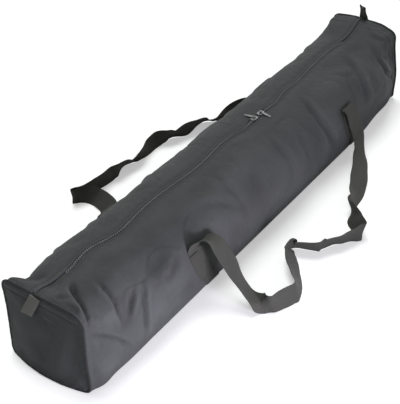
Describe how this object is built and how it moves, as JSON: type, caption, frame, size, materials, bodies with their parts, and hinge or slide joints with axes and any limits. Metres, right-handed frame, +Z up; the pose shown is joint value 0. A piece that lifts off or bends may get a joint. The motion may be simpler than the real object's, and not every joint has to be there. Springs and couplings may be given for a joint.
{
  "type": "telescope carry case",
  "caption": "Long padded soft case for a telescope tube, opened by a two-way zip along its top and carried by webbing handles sewn round its body.",
  "frame": {"origin": "middle of the case on the floor it lies on", "axes": "+X along the case from the near end in the picture to the far end, +Y to its left side, +Z up"},
  "size_m": [1.129, 0.5489, 0.2135],
  "materials": {
    "outer_fabric": "woven, matte",
    "foam": "soft foam",
    "lining": "smooth cloth",
    "piping": "rolled fabric edge",
    "webbing": "ribbed webbing",
    "zip_tape": "woven tape",
    "zip_teeth": "moulded",
    "zip_metal": "dull nickel"
  },
  "bodies": {
    "case_body": {"base_panel": "outer_fabric", "base_foam": "foam", "base_lining": "lining", "left_side_panel": "outer_fabric", "left_side_foam": "foam", "left_side_lining": "lining", "right_side_panel": "outer_fabric", "right_side_foam": "foam", "right_side_lining": "lining", "near_end_panel": "outer_fabric", "near_end_foam": "foam", "near_end_lining": "lining", "near_end_piping": "piping", "far_end_panel": "outer_fabric", "far_end_foam": "foam", "far_end_lining": "lining", "far_end_piping": "piping", "near_girth_strap": "webbing", "far_girth_strap": "webbing"},
    "left_flap": {"left_flap_panel": "outer_fabric", "left_flap_foam": "foam", "left_flap_lining": "lining", "left_zip_tape": "zip_tape", "left_zip_teeth": "zip_teeth", "near_zip_stop": "zip_metal"},
    "right_flap": {"right_flap_panel": "outer_fabric", "right_flap_foam": "foam", "right_flap_lining": "lining", "right_zip_tape": "zip_tape", "right_zip_teeth": "zip_teeth", "far_zip_stop": "zip_metal"},
    "near_slider": {"near_slider": "zip_metal"},
    "far_slider": {"far_slider": "zip_metal"},
    "near_pull": {"near_pull": "zip_metal"},
    "far_pull": {"far_pull": "zip_metal"},
    "left_handle": {"left_handle": "webbing"},
    "right_handle": {"right_handle": "webbing"},
    "near_tab": {"near_tab": "webbing"},
    "far_tab": {"far_tab": "webbing"}
  },
  "joints": [
    {"name": "left_flap_fold", "type": "hinge", "parent": "case_body", "child": "left_flap", "pos_m": [0, 0.0855, 0.1366], "axis": [-1, 0, 0], "range_deg": [0, 85], "deforming": ["left_zip_tape", "right_zip_tape", "left_zip_teeth", "right_zip_teeth"]},
    {"name": "right_flap_fold", "type": "hinge", "parent": "case_body", "child": "right_flap", "pos_m": [0, -0.0855, 0.1366], "axis": [1, 0, 0], "range_deg": [0, 85], "deforming": ["left_zip_tape", "right_zip_tape", "left_zip_teeth", "right_zip_teeth"]},
    {"name": "near_slider_travel", "type": "slide", "parent": "left_flap", "child": "near_slider", "axis": [-0.9999, 0.0152, 0], "range_m": [0, 0.561], "deforming": ["left_zip_teeth", "right_zip_teeth"]},
    {"name": "far_slider_travel", "type": "slide", "parent": "right_flap", "child": "far_slider", "axis": [0.9997, 0.024, 0], "range_m": [0, 0.343], "deforming": ["left_zip_teeth", "right_zip_teeth"]},
    {"name": "near_pull_swing", "type": "hinge", "parent": "near_slider", "child": "near_pull", "pos_m": [0.097, 0.01218, 0.16075], "axis": [0.9999, -0.0152, 0], "range_deg": [0, 155]},
    {"name": "far_pull_swing", "type": "hinge", "parent": "far_slider", "child": "far_pull", "pos_m": [0.121, 0.01229, 0.16075], "axis": [-0.9997, -0.024, 0], "range_deg": [0, 155]},
    {"name": "left_handle_lift", "type": "hinge", "parent": "case_body", "child": "left_handle", "pos_m": [0.009, 0.10097, 0.1157], "axis": [-1, 0, 0], "range_deg": [-105, 0]},
    {"name": "right_handle_lift", "type": "hinge", "parent": "case_body", "child": "right_handle", "pos_m": [0.009, -0.10097, 0.1157], "axis": [1, 0, 0], "range_deg": [-105, 0]},
    {"name": "near_tab_swing", "type": "hinge", "parent": "case_body", "child": "near_tab", "pos_m": [-0.5624, 0.012, 0.1681], "axis": [0, 0.9063, 0.4226], "range_deg": [0, 150]},
    {"name": "far_tab_swing", "type": "hinge", "parent": "case_body", "child": "far_tab", "pos_m": [0.5624, 0.012, 0.1631], "axis": [0, 0.9063, -0.4226], "range_deg": [0, 150]}
  ]
}
